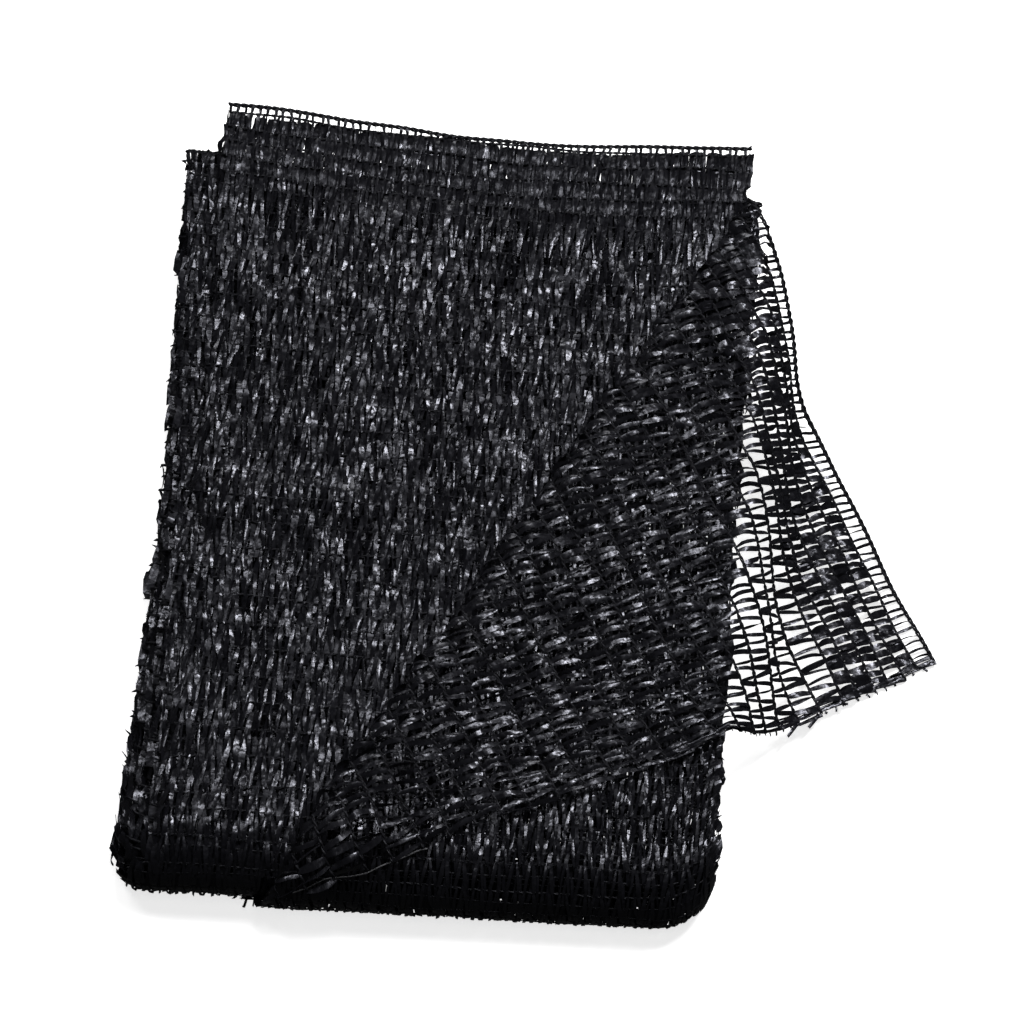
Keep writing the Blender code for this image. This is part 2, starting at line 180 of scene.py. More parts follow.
class Section:
    """The fold seen from its end, as arrays over the distance v along the cloth."""

    FLAT_PLACES = 41
    TURN_STEPS = 24
    RUN_ON = 10.0

    def __init__(self):
        self.y, self.z, self.left, self.right, self.ply = [], [], [], [], []
        for index, ply in enumerate(ROUTE):
            self.pass_ply(index, ply)
        y, z = np.array(self.y), np.array(self.z)
        settled = settle(np.zeros_like(y), y, z)
        steps = np.linalg.norm(np.diff(settled, axis=0), axis=1)
        self.v = RUN_START_Y - np.concatenate([[0.0], np.cumsum(steps)])
        self.end_v = self.v[-1]
        dy, dz = np.gradient(y), np.gradient(z)
        size = np.hypot(dy, dz)
        self.y, self.z, self.out_y, self.out_z = y, z, dz / size, -dy / size
        self.left, self.right, self.ply = np.array(self.left), np.array(self.right), np.array(self.ply)
        on_ply = self.ply >= 0
        self.left_curl = np.where(on_ply, np.array(LEFT_CURLS)[self.ply], 0).astype(float)
        self.right_curl = np.where(on_ply, np.array(RIGHT_CURLS)[self.ply], 0).astype(float)
        self.run_on(self.RUN_ON)

    def run_on(self, length):
        """Carries the last ply straight on, for threads that stick out past its edge."""
        for name, value in vars(self).items():
            if isinstance(value, np.ndarray):
                setattr(self, name, np.append(value, value[-1]))
        self.v[-1] -= length
        self.y[-1] += length

    def pass_ply(self, index, ply):
        """Adds a ply and the turn that leads on to the next one."""
        to_front = index % 2 == 0
        last = index == len(ROUTE) - 1
        back = FREE_EDGE_Y if last else RUN_START_Y
        for top, bottom, y in BACK_TURNS:
            if top <= ply <= bottom:
                back = y
        ends = (back, FRONT_TURN_Y) if to_front else (FRONT_TURN_Y, back)
        for y in np.linspace(*ends, self.FLAT_PLACES):
            self.add(y, ply_height(ply), ply_ends(ply, y), ply)
        if last:
            return
        following = ROUTE[index + 1]
        centre_y = FRONT_TURN_Y if to_front else back
        side, full = (-1, FRONT_FULLNESS) if to_front else (1, BACK_FULLNESS)
        z_from, z_to = ply_height(ply), ply_height(following)
        centre_z, height = (z_from + z_to) / 2, (z_from - z_to) / 2
        depth = abs(height) + full
        start, end = ply_ends(ply, centre_y), ply_ends(following, centre_y)
        for step in range(1, self.TURN_STEPS):
            share = step / self.TURN_STEPS
            eased = blend(0.0, 1.0, share)
            ends = [a + (b - a) * eased for a, b in zip(start, end)]
            y = centre_y + side * depth * math.sin(math.pi * share)
            self.add(y, centre_z + height * math.cos(math.pi * share), ends, -1)

    def add(self, y, z, ends, ply):
        self.y.append(y)
        self.z.append(z)
        self.left.append(ends[0])
        self.right.append(ends[1])
        self.ply.append(ply)

    def at(self, v, values):
        return np.interp(-v, -self.v, values)


SECTION = Section()
END_V = SECTION.end_v
FREE_RUN_V = END_V + FREE_EDGE_Y


def past_crease(x, v):
    """Distance past the diagonal crease, towards the turned corner."""
    return (x - CREASE_FRONT.x) * CREASE_LEFT.x + (v - CREASE_FRONT.y) * CREASE_LEFT.y


def turned(x, v):
    """Where a point past the crease lies once it is turned over."""
    move = 2.0 * past_crease(x, v) - CREASE_WIDTH
    return x - CREASE_LEFT.x * move, v - CREASE_LEFT.y * move


SHEET_CORNER = Vector(turned(*CORNER_LAID))
SELVEDGE_ALONG = (CREASE_BACK - SHEET_CORNER).normalized()
SELVEDGE_AWAY = Vector((SELVEDGE_ALONG.y, -SELVEDGE_ALONG.x))
CUT_ALONG = (CREASE_FRONT - SHEET_CORNER).normalized()


def fall_rows():
    """The turned corner's fall past the pack's right side: distance along it, out of it, and height."""
    top = ply_height(0) + FLAP_LIFT
    knots = [(out, top if height is None else height) for out, height in FALL]
    slopes = [0.0]
    for a, b, c in zip(knots, knots[1:], knots[2:]):
        before = (b[1] - a[1]) / (b[0] - a[0])
        after = (c[1] - b[1]) / (c[0] - b[0])
        slopes.append(2.0 * before * after / (before + after) if before * after > 0 else 0.0)
    slopes.append(0.0)
    out, height = [0.0], [knots[0][1]]
    for a, b, sa, sb in zip(knots, knots[1:], slopes, slopes[1:]):
        width = b[0] - a[0]
        for step in range(1, FALL_STEPS + 1):
            t = step / FALL_STEPS
            out.append(a[0] + width * t)
            height.append(
                a[1] * (1 + 2 * t) * (1 - t) ** 2 + sa * width * t * (1 - t) ** 2
                + b[1] * t * t * (3 - 2 * t) + sb * width * t * t * (t - 1)
            )
    travelled = np.concatenate([[0.0], np.cumsum(np.hypot(np.diff(out), np.diff(height)))])
    return travelled, np.array(out), np.array(height)


FALL_TRAVELLED, FALL_OUT, FALL_HEIGHT = fall_rows()


# Over this reach below the crease's front end, the left end of the sheet stays within the turned tip
TIP_REACH = (-60.0, 200.0)
FAR = 1e9


def sheet_ends(v):
    """Left and right end of the sheet at v."""
    left, right = SECTION.at(v, SECTION.left), SECTION.at(v, SECTION.right)
    below = CREASE_FRONT.y - v
    beside = (below > TIP_REACH[0]) & (below < TIP_REACH[1])
    tip = np.where(beside, CREASE_FRONT.x - np.maximum(below, 0.0), -FAR)
    return np.maximum(left, tip), right


def curl(x, v):
    """How the ends of the plies curl round: x there, and the height that they gain."""
    left, right = sheet_ends(v)
    at_left = np.clip((left + CURL_RADIUS - x) / CURL_RADIUS, 0.0, None)
    at_right = np.clip((x - right + CURL_RADIUS) / CURL_RADIUS, 0.0, None)
    left_curl, right_curl = SECTION.at(v, SECTION.left_curl), SECTION.at(v, SECTION.right_curl)
    left_share, right_share = np.abs(left_curl), np.abs(right_curl)
    x = x + CURL_RADIUS * left_share * (at_left - np.sin(at_left))
    x = x - CURL_RADIUS * right_share * (at_right - np.sin(at_right))
    z = CURL_RADIUS * (left_curl * (1.0 - np.cos(at_left)) + right_curl * (1.0 - np.cos(at_right)))
    return x, z


def lay(x, v):
    """Places of points of the developed plane in the folded pack."""
    past = past_crease(x, v)
    flat = (v < CREASE_FRONT.y) | (past <= 0.0)
    bending = ~flat & (past < CREASE_WIDTH)
    over = ~flat & ~bending
    angle = np.clip(past / CREASE_RADIUS, 0.0, math.pi)
    move = np.where(over, 2.0 * past - CREASE_WIDTH, 0.0)
    move = np.where(bending, past - CREASE_RADIUS * np.sin(angle), move)
    ease = blend(CREASE_WIDTH + CREASE_EASE, CREASE_WIDTH, past)
    lifted = FLAP_LIFT + (2.0 * CREASE_RADIUS - FLAP_LIFT) * ease
    beyond = np.clip((past - CREASE_WIDTH) / CREASE_PUFF_WIDTH, 0.0, 1.0)
    lifted = lifted + CREASE_PUFF * np.sin(math.pi * beyond)
    lift = np.where(bending, CREASE_RADIUS * (1.0 - np.cos(angle)), np.where(over, lifted, 0.0))
    laid_x, laid_v = x - CREASE_LEFT.x * move, v - CREASE_LEFT.y * move
    y, z = SECTION.at(laid_v, SECTION.y), SECTION.at(laid_v, SECTION.z)
    x_curled, z_curled = curl(x, v)
    laid_x, z = np.where(flat, x_curled, laid_x), z + np.where(flat, z_curled, 0.0)
    out_y, out_z = SECTION.at(laid_v, SECTION.out_y), SECTION.at(laid_v, SECTION.out_z)
    rise = np.where(x < FREE_EDGE_LOW_X, FREE_EDGE_RISE_LEFT, FREE_EDGE_RISE_RIGHT)
    bow = rise * ((x - FREE_EDGE_LOW_X) / FREE_EDGE_SPAN) ** 2 * blend(0.0, FREE_EDGE_Y, y)
    bump_x, bump_width, bump = FREE_EDGE_BUMP
    reach = FREE_EDGE_REACH + bump * np.exp(-(((x - bump_x) / bump_width) ** 2))
    free, near_edge = flat & (v < FREE_RUN_V), blend(*FREE_EDGE_NEAR, y)
    y = y + np.where(free, bow + reach * near_edge, 0.0) + out_y * lift
    z = z + out_z * lift - np.where(free, FREE_EDGE_DROOP * near_edge, 0.0)
    down = ~flat & (laid_x > SHOULDER_X)
    travelled = np.maximum(laid_x - SHOULDER_X, 0.0)
    laid_x = np.where(down, SHOULDER_X + np.interp(travelled, FALL_TRAVELLED, FALL_OUT), laid_x)
    z = np.where(down, np.interp(travelled, FALL_TRAVELLED, FALL_HEIGHT), z)
    return settle(laid_x, y, z)


# How level the cloth is, from standing on edge to lying flat, for its threads' height and its pucker
LEAST_HEIGHT, RAISED_LEVEL, PUCKERED_LEVEL = 0.1, (0.2, 1.0), (0.8, 1.0)


def levelness(v):
    """1 where the cloth lies flat at v, and 0 where it stands on edge in a turn."""
    return np.abs(SECTION.at(v, SECTION.out_z))


def height_share(v):
    """How much of a thread's height is kept at v."""
    return LEAST_HEIGHT + (1.0 - LEAST_HEIGHT) * blend(*RAISED_LEVEL, levelness(v))


def lay_off(x, v, h):
    """The same for points that stand h off the middle of the cloth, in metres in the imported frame."""
    step = 0.4
    along = lay(x + step, v) - lay(x - step, v)
    across = lay(x, v + step) - lay(x, v - step)
    normal = np.cross(along, across)
    normal /= np.maximum(np.linalg.norm(normal, axis=-1, keepdims=True), 1e-9)
    placed = lay(x, v) + normal * h[..., None]
    placed[..., 2] = np.maximum(placed[..., 2], FLOOR_GAP)
    return (placed - ORIGIN) * MM


def cut_edge_x(v):
    """x of the cut edge at v, bowed out between the crease and the corner."""
    straight = CREASE_FRONT.x + (v - CREASE_FRONT.y) * CUT_ALONG.x / CUT_ALONG.y
    share = (v - CREASE_FRONT.y) / (SHEET_CORNER.y - CREASE_FRONT.y)
    return straight - CUT_BOW * np.sin(math.pi * np.clip(share, 0.0, 1.0))


# ---------------------------------------------------------------- the net
RNG = np.random.default_rng(11)
SHINE = np.random.default_rng(5)
COURSE = 3.8
REPEAT = 2 * COURSE
WALE = 12.6
SELVEDGE_V = 160.0
SELVEDGE_WALE = 8.5
CURLED_SELVEDGE_WALE = 3.3
CLOSE_WALE = 8.0
CLOSE_WALES = 5
CLOSE_WIDENING = 1.45
# The materials' slots: glossy tapes, chains, the loose thread, whose pale grey colour is a painted
# highlight on black thread, and tapes that glint less
TAPE, CHAIN, PAINTED_GLINT_SLOT, DULL = 0, 1, 2, 3
SHINY_DENSE, SHINY_UNDER = 0.16, 0.6
STRETCH, STRETCH_SHIFT = (1.0, 1.3), 0.05


class Lattice:
    """Takes (s, w), along the chains and away from a selvedge, to the developed plane."""

    def __init__(self, origin, along, away):
        self.origin, self.along, self.away = origin, along, away

    def place(self, s, w):
        x = self.origin[0] + self.along[0] * s + self.away[0] * w
        v = self.origin[1] + self.along[1] * s + self.away[1] * w
        return x, v


# The turned corner's lattice follows its own selvedge and cut edge. The pack's is straight, and the
# backing layers under it, which stop light from showing between the threads, are shifted from it.
FLAP_AWAY = CUT_ALONG / CUT_ALONG.dot(SELVEDGE_AWAY)
FLAP = Lattice(SHEET_CORNER, SELVEDGE_ALONG, FLAP_AWAY)
PLAIN, UNDER, UNDER_BACK, RIM = (
    Lattice((along, SELVEDGE_V - across), (1.0, 0.0), (0.0, -1.0))
    for along, across in ((0.0, 0.0), (2.1, 6.0), (2.1, CLOSE_WALE), (4.0, 12.3))
)
UNDER_LIFT = -1.3
ALL_W = SELVEDGE_V - END_V
BAND = SELVEDGE_WALE + CLOSE_WALES * CLOSE_WALE


def wale_places():
    """Distances of the chains from the first selvedge, close together beside both selvedges."""
    near = [0.0] + [SELVEDGE_WALE + CLOSE_WALE * n for n in range(CLOSE_WALES + 1)]
    open_width = ALL_W - 2 * BAND
    count = round(open_width / WALE)
    inner = [BAND + open_width * n / count for n in range(1, count)]
    far = [ALL_W - max(w - SELVEDGE_WALE + CURLED_SELVEDGE_WALE, 0.0) for w in reversed(near)]
    return np.array(near + inner + far)


WALES = wale_places()
LAST_WALE = len(WALES) - 1
WAVER = RNG.uniform(0.0, 2.0 * math.pi, (len(WALES), 4))
# Waves of a chain along itself: height of the wave and its reach
SIDE_WAVES, UP_WAVES = ((0.55, 23.0), (0.35, 9.1)), ((0.30, 17.0), (0.15, 6.3))
# The outer cord of the free selvedge also curls in at the middle: height, reach and phase
CURLED_CORD = (0.9, 38.0, -1.04)
# Waves of the cloth: height of the wave, its reach along x and along v, and phase
PUCKERS = (
    (0.50, 31.0, 17.0, 0.4),
    (0.95, 47.0, -8.5, 2.0),
    (0.50, 90.0, 5.9, 1.1),
    (0.25, 13.0, 29.0, 4.1),
)


def waver(i, s):
    """How far chain i strays sideways and up at s."""
    waves = [a * np.sin(s / b + phase) for (a, b), phase in zip(SIDE_WAVES + UP_WAVES, WAVER[i])]
    side, up = waves[0] + waves[1], waves[2] + waves[3]
    if i == LAST_WALE:
        height, reach, phase = CURLED_CORD
        side = side + height * np.sin(s / reach + phase)
    return side, up


def pucker(x, v):
    """Slow unevenness of the cloth's height."""
    return sum(a * np.sin(x / bx + v / bv + c) for a, bx, bv, c in PUCKERS)


PATTERN_SCALE = 0.01


class Net:
    """Collects threads as grids of flat net points, and makes one mesh of them.

    Its settings hold for the threads added next: lift is the height of the whole layer and sunk
    the depth of the chains in it, shown_side is the side of the cloth that is seen, bulge and
    swing are how far tapes arch and lean, and tip_unrest adds to that near the corner's tip.
    """

    def __init__(self, name):
        self.name, self.points, self.flat, self.faces, self.kinds, self.count = name, [], [], [], [], 0
        self.lift, self.sunk, self.shown_side = 0.0, 0.0, 1.0
        self.tape_width, self.close_widening = 2.3, CLOSE_WIDENING
        self.bulge, self.swing, self.tip_unrest = 1.15, 0.42, 0.0

    def add(self, lattice, s, w, h, closed, kind):
        """s, w and h are arrays of threads by places along by places around."""
        s, w, h = np.broadcast_arrays(s, w, h)
        x, v = lattice.place(s, w)
        self.points.append(np.stack([x, v, self.shown_side * (h + self.lift)], axis=-1).reshape(-1, 3))
        self.flat.append(np.stack([s, w], axis=-1).reshape(-1, 2))
        index = self.count + np.arange(s.size).reshape(s.shape)
        here = index if closed else index[:, :, :-1]
        after = np.roll(index, -1, axis=2) if closed else index[:, :, 1:]
        quads = np.stack([here[:, :-1], after[:, :-1], after[:, 1:], here[:, 1:]], axis=-1).reshape(-1, 4)
        self.faces.append(quads)
        self.kinds.append(np.full(len(quads), kind, dtype=np.int32))
        self.count += s.size

    def make(self, materials):
        points, faces, kinds = (np.concatenate(a) for a in (self.points, self.faces, self.kinds))
        x, v, h = points.T
        placed = lay_off(x, v, h * height_share(v) + pucker(x, v) * blend(*PUCKERED_LEVEL, levelness(v)))
        mesh = bpy.data.meshes.new(self.name)
        mesh.vertices.add(len(placed))
        mesh.vertices.foreach_set("co", placed.astype(np.float32).ravel())
        mesh.loops.add(faces.size)
        mesh.loops.foreach_set("vertex_index", faces.astype(np.int32).ravel())
        mesh.polygons.add(len(faces))
        mesh.polygons.foreach_set("loop_start", np.arange(0, faces.size, 4, dtype=np.int32))
        mesh.polygons.foreach_set("material_index", kinds)
        mesh.polygons.foreach_set("use_smooth", np.ones(len(faces), dtype=bool))
        flat = np.concatenate(self.flat)[faces.ravel()] * PATTERN_SCALE
        mesh.uv_layers.new(name="net").uv.foreach_set("vector", flat.astype(np.float32).ravel())
        for material in materials:
            mesh.materials.append(material)
        mesh.update()
        mesh.validate()
        piece = bpy.data.objects.new(self.name, mesh)
        bpy.context.scene.collection.objects.link(piece)
        print(self.name, "triangles", 2 * len(faces))
        return piece


def spans(lattice, w, low, high, inside, step=1.9):
    """Stretches of s between low and high along which the line at w is inside."""
    s = np.arange(low, high + step, step)
    x, v = lattice.place(s, np.full_like(s, w))
    kept = inside(x, v)
    edges = np.flatnonzero(np.diff(np.concatenate([[False], kept, [False]]).astype(int)))
    return [(s[a], s[b - 1]) for a, b in zip(edges[::2], edges[1::2]) if s[b - 1] - s[a] > COURSE]


def tube(net, lattice, s, w, h, radius, sides, kind=CHAIN):
    """A thread with its middle at s, w, h, arrays of threads by places along."""
    angle = (np.arange(sides) + 0.5) * 2.0 * math.pi / sides
    net.add(
        lattice,
        s[..., None],
        w[..., None] + radius[..., None] * np.cos(angle),
        h[..., None] + radius[..., None] * np.sin(angle),
        True,
        kind,
    )


# How finely threads are drawn: places a course and sides of a chain, and places along a tape
FINENESS = ((1, 3, 3), (2, 4, 5), (4, 3, 8), (6, 4, 8))
TWO_THREADS = 2
LOOP_SIDE, LOOP_UP = 0.42, 0.28
LOOP_RADIUS, LOOP_SWELL = 0.50, 0.12
CHAIN_RADIUS, CHAIN_SWELL = 0.72, 0.14
TAPERED, TAPERED_END = 0.8, 0.25
OVERHANG = (0.0, 0.9)


def chain(net, lattice, i, start, end, fine, thick):
    """One chain of knitted loops: two threads that cross once a course, or one where it's coarse."""
    start, end = start - RNG.uniform(*OVERHANG), end + RNG.uniform(*OVERHANG)
    per_course, sides, _ = FINENESS[fine]
    s = np.linspace(start, end, max(int((end - start) / COURSE * per_course), 3))[None]
    side, up = waver(i, s)
    up = up - net.sunk
    taper = np.minimum(1.0, np.minimum(s - s[0, 0], s[0, -1] - s) / TAPERED + TAPERED_END)
    turn = math.pi * s / COURSE
    if fine < TWO_THREADS:
        radius = (CHAIN_RADIUS + CHAIN_SWELL * np.cos(2 * turn)) * thick * taper
        tube(net, lattice, s, WALES[i] + side, up, radius, sides)
        return
    for sign in (-1, 1):
        w = WALES[i] + side + sign * LOOP_SIDE * thick * np.sin(turn)
        h = up + sign * LOOP_UP * thick * np.cos(turn)
        radius = (LOOP_RADIUS + LOOP_SWELL * np.cos(2 * turn)) * thick * taper
        tube(net, lattice, s, w, h, radius, sides)


def is_ladder(j):
    """True between a selvedge's outer cord and the chain beside it."""
    return j in (0, LAST_WALE - 1)


def is_close(j):
    """True between chains that stand close together beside a selvedge."""
    return WALES[j + 1] - WALES[j] < 0.9 * WALE


def is_dense(j):
    """True beside the free selvedge, where the tapes lie three a repeat."""
    return is_close(j) and j > len(WALES) // 2


def tape_reach(j):
    """How far each tape of a pair stands from the middle of its repeat, at chain j and at the next."""
    if is_ladder(j):
        return 1.5, 1.75
    narrow, wide = (1.65, 1.95) if is_close(j) else (0.85, 2.15)
    return (narrow, wide) if j % 2 else (wide, narrow)


END_SPREAD, EXTRA_SPREAD = 0.28, 0.5
EXTRA_SHARE = 0.5
PAST_END = 0.6


def tape_ends(j, start, end):
    """Where along the chains each tape between chain j and the next starts and ends."""
    repeats = np.arange(math.floor(start / REPEAT) - 1, math.ceil(end / REPEAT) + 1)
    middles = REPEAT * (repeats + 0.5 * (j % 2))
    reach = np.array(tape_reach(j))
    ends = np.concatenate([middles[:, None] - reach, middles[:, None] + reach])
    ends = ends + RNG.normal(0.0, END_SPREAD, ends.shape)
    if is_close(j) and not is_ladder(j):
        chosen = RNG.uniform(0.0, 1.0, len(middles)) < (1.0 if is_dense(j) else EXTRA_SHARE)
        extra = middles[chosen][:, None] + 0.5 * REPEAT
        ends = np.concatenate([ends, extra + RNG.normal(0.0, EXTRA_SPREAD, (len(extra), 2))])
    return ends[(ends.min(axis=1) > start - PAST_END) & (ends.max(axis=1) < end + PAST_END)]


# How much the tapes differ from each other. Lengths are in millimetres and angles in radians.
OVERRUN = 0.05
SIDE_SPREAD, BULGE_SPREAD, TILT_SPREAD, WIDTH_SPREAD = 0.3, 0.45, 0.22, 0.3
DENSE_BULGE = 0.5
UNREST = 0.5
LADDER_TAPE = 1.6
PINCHED, PINCHED_UNDER, PINCH_RISE = 0.45, 0.85, 2.2
FLAT_SWING, TWIST_SPREAD = 0.2, 0.5
FOLD, FOLD_SPREAD = 0.12, 0.12


def tapes(net, lattice, j, start, end, fine):
    """The tapes between chain j and the next, back and forth once a repeat."""
    ends = tape_ends(j, start, end)
    n = len(ends)
    if n < 1:
        return
    width, dense, under = WALES[j + 1] - WALES[j], is_dense(j), net.lift != 0.0
    places = FINENESS[fine][2]
    run = np.broadcast_to(np.linspace(-OVERRUN, 1.0 + OVERRUN, places), (n, places))
    if dense and not under and j < LAST_WALE - 2:
        run = 0.5 + (run - 0.5) * RNG.uniform(*STRETCH, (n, 1)) + RNG.normal(0.0, STRETCH_SHIFT, (n, 1))
    arch = np.maximum(np.sin(math.pi * run), 0.0)
    s = ends[:, :1] + (ends[:, 1:] - ends[:, :1]) * run + RNG.normal(0.0, SIDE_SPREAD, (n, 1)) * arch
    (side0, up0), (side1, up1) = waver(j, s), waver(j + 1, s)
    w = WALES[j] + side0 + run * (width + side1 - side0)
    bulge_share = DENSE_BULGE if dense else min(width / WALE, 1.0)
    bulge = RNG.normal(net.bulge, BULGE_SPREAD, (n, 1)) * bulge_share
    unrest = UNREST * net.tip_unrest * blend(*TIP, WALES[j])
    tilt = RNG.normal(0.0, TILT_SPREAD + unrest, (n, 1)) * np.sin(2 * math.pi * run)
    h = up0 + (up1 - up0) * run + bulge * arch + tilt
    widening = net.close_widening if is_close(j) else 1.0
    full = LADDER_TAPE if is_ladder(j) else RNG.normal(net.tape_width * widening, WIDTH_SPREAD, (n, 1))
    pinched = PINCHED_UNDER if under else PINCHED
    half = 0.5 * full * (pinched + (1.0 - pinched) * np.minimum(1.0, arch * PINCH_RISE))
    swing = FLAT_SWING if dense and under else net.swing + unrest
    roll = RNG.normal(0.0, swing, (n, 1)) + RNG.normal(0.0, TWIST_SPREAD, (n, 1)) * (run - 0.5)
    across = np.array([-1.0, 0.0, 1.0]) if fine >= TWO_THREADS else np.array([-1.0, 1.0])
    fold = RNG.normal(FOLD, FOLD_SPREAD, (n, 1, 1)) * (across == 0.0)
    s = s[..., None] + across * (half * np.cos(roll))[..., None]
    w = w[..., None] * np.ones(len(across))
    h = h[..., None] + across * (half * np.sin(roll))[..., None] + fold
    share = SHINY_DENSE if dense else SHINY_UNDER if under else 1.0
    shiny = SHINE.uniform(0.0, 1.0, n) < share
    for chosen, kind in ((shiny, TAPE), (~shiny, DULL)):
        if chosen.any():
            net.add(lattice, s[chosen], w[chosen], h[chosen], False, kind)


CORD_THICK, SUNK_THINNER = 1.4, 0.35


def knit(net, lattice, low, high, inside, fine, first=0, last=None):
    """Chains and tapes over the part of the lattice that is inside, from chain first to chain last."""
    last = LAST_WALE if last is None else last
    for i in range(first, last + 1):
        thick = CORD_THICK if i in (0, LAST_WALE) else 1.0 - SUNK_THINNER * net.sunk
        for start, end in spans(lattice, WALES[i], low, high, inside):
            chain(net, lattice, i, start, end, fine, thick)
        if i < last:
            for start, end in spans(lattice, (WALES[i] + WALES[i + 1]) / 2, low, high, inside):
                tapes(net, lattice, i, start, end, fine)


# How far stretches of the net lap over each other, so that no gap shows between them
UNDER_CUT, CREASE_LAP = 14.0, 8.0
CREASE_UNDER, CREASE_UNDER_BACK, CREASE_BACK_V = 6.0, 1.0, 150.0
COVERED_X = 105.5
CURL_REACH = 1.0
MARGIN_LEFT, MARGIN_RIGHT = 34.0, 9.0


def laid_cut_v(x):
    """v of the laid cut edge on the top ply, the limit of what the turned-over part covers."""
    corner, tip = CORNER_LAID, CREASE_FRONT
    return tip.y + (x - tip.x) * (corner.y - tip.y) / (corner.x - tip.x)


def on_flap(x, v):
    """The turned-over corner and the crease."""
    lap = np.where(v > CREASE_BACK_V, CREASE_UNDER_BACK, CREASE_UNDER)
    return (past_crease(x, v) > -lap) & (x > cut_edge_x(v)) & (v > CREASE_FRONT.y + 1.0)


def under_flap(x, v):
    """The part of the top ply that the turned-over corner covers."""
    return (past_crease(x, v) <= -CREASE_UNDER) & (v > laid_cut_v(x) + UNDER_CUT) & (x < COVERED_X)


def top_open(x, v):
    """The part of the top ply that shows, in front of the corner."""
    before_crease = (past_crease(x, v) <= -CREASE_UNDER_BACK) & (x < sheet_ends(v)[1] + CURL_REACH)
    return before_crease & (v <= laid_cut_v(x) + UNDER_CUT) & (v > CREASE_FRONT.y - CREASE_LAP)


def between(high_v, low_v, extra=None, margins=None):
    """Test for the sheet between two values of v; margins keeps only its two ends, or leaves them out."""

    def inside(x, v):
        left, right = sheet_ends(v)
        kept = (v <= high_v) & (v > low_v) & (x > left - CURL_REACH) & (x < right + CURL_REACH)
        if margins is not None:
            kept &= ((x < left + MARGIN_LEFT) | (x > right - MARGIN_RIGHT)) == margins
        return kept if extra is None else kept & extra(x, v)

    return inside


def first_wale(v):
    """The first chain at or past v."""
    return int(np.searchsorted(WALES, SELVEDGE_V - v))


LOW_S, HIGH_S, RIM_END_S = -200.0, 125.0, -100.0
PLIES_SUNK, PLIES_TAPE, PLIES_BULGE = 0.4, 1.6, 1.5
TIP = (225.0, 300.0)
SECOND_LAP = 9.0
LOOSE_THREAD = ((-20.0, -174.0), (-32.0, -179.0), (-45.0, -186.0), (-64.0, -190.5), (-78.0, -198.0))
LOOSE_LIFT, LOOSE_RADIUS, LOOSE_PLACES = 1.3, 0.4, 70
LOOSE_WAVE, LOOSE_TURNS = 0.35, 19.0


def ply_start(ply):
    """The v at which a ply starts."""
    return float(SECTION.v[np.flatnonzero(SECTION.ply == ply)[0]])


def second_shown(x, v):
    """True where the second ply isn't under the top one."""
    return past_crease(x, SECTION.at(v, SECTION.y)) > -SECOND_LAP


def second_hidden(x, v):
    return ~second_shown(x, v)


CUT_CHAINS, CUT_INSETS = 15, (0.9, 2.6, 4.4)
CUT_SEARCH, CUT_SEARCH_STEP = (-30.0, 120.0), 0.5
CUT_ENDS = np.arange(6.0, 150.0, 5.2)
LONG_ENDS = ((62.0, 9.5), (73.5, 10.5))
STRIP_RISE, STRIP_NARROWING, STRIP_FOLD = 0.3, 0.3, 0.25


def cut_edge_s(w):
    """s of the cut edge at w from the selvedge."""
    return spans(FLAP, w, *CUT_SEARCH, on_flap, CUT_SEARCH_STEP)[0][0]


def cut_strip(net, at, reach, width, rise=STRIP_RISE):
    """A short piece of tape from the place at, by reach in s and w."""
    run, across = np.linspace(0.0, 1.0, 5)[None, :, None], np.array([-1.0, 0.0, 1.0])
    length = math.hypot(*reach)
    half = 0.5 * width * (1.0 - STRIP_NARROWING * run)
    s = at[0] + reach[0] * run + across * (half * reach[1] / length)
    w = at[1] + reach[1] * run - across * (half * reach[0] / length)
    h = rise * np.sin(math.pi * run) + STRIP_FOLD * (across == 0.0)
    net.add(FLAP, s, w, h, False, TAPE)


def fray(net):
    """Tapes lying loose along the cut edge, their ends and two long ones."""
    for near, far in zip(WALES, WALES[1:CUT_CHAINS + 1]):
        start, end = cut_edge_s(near), cut_edge_s(far)
        for inset in CUT_INSETS:
            at = (start + inset + RNG.normal(0.0, 0.3), near - 0.5)
            reach = (end - start + RNG.normal(0.0, 0.6), far - near + 1.0)
            cut_strip(net, at, reach, RNG.normal(1.9, 0.3), RNG.normal(0.6, 0.4))
    for w in CUT_ENDS:
        at = (cut_edge_s(w) + 0.8, w)
        cut_strip(net, at, (-RNG.uniform(1.0, 2.4), RNG.uniform(-1.5, 1.8)), RNG.uniform(1.0, 1.7))
    for w, length in LONG_ENDS:
        cut_strip(net, (cut_edge_s(w) + 1.0, w), (-0.5 * length, 0.85 * length), 2.0)


def loose_thread(net):
    """A thread pulled out of the cut edge, lying on the front below it."""
    x, v, along = *zip(*LOOSE_THREAD), np.linspace(0.0, 1.0, len(LOOSE_THREAD))
    run = np.linspace(0.0, 1.0, LOOSE_PLACES)[None]
    s, v = np.interp(run, along, x), np.interp(run, along, v) + LOOSE_WAVE * np.sin(run * LOOSE_TURNS)
    radius = np.full(run.shape, LOOSE_RADIUS)
    # The loose thread takes the material whose pale grey colour is a painted highlight, not a colour of
    # its own.
    tube(net, PLAIN, s, SELVEDGE_V - v, LOOSE_LIFT / height_share(v), radius, 5, PAINTED_GLINT_SLOT)


WIDEST, FLAP_FAR_V, TOP_BACK_V = 300.0, 500.0, 170.0


def flat_size(inside, high_v, low_v, step=2.0):
    """Width, length and area of a part of the sheet, in metres."""
    x, v = np.meshgrid(np.arange(-WIDEST, WIDEST, step), np.arange(low_v, high_v, step))
    kept = inside(x, v)
    width, length = (np.ptp(a[kept]) + step for a in (x, v))
    return width * MM, length * MM, min(kept.sum() * step * step, width * length) * MM * MM


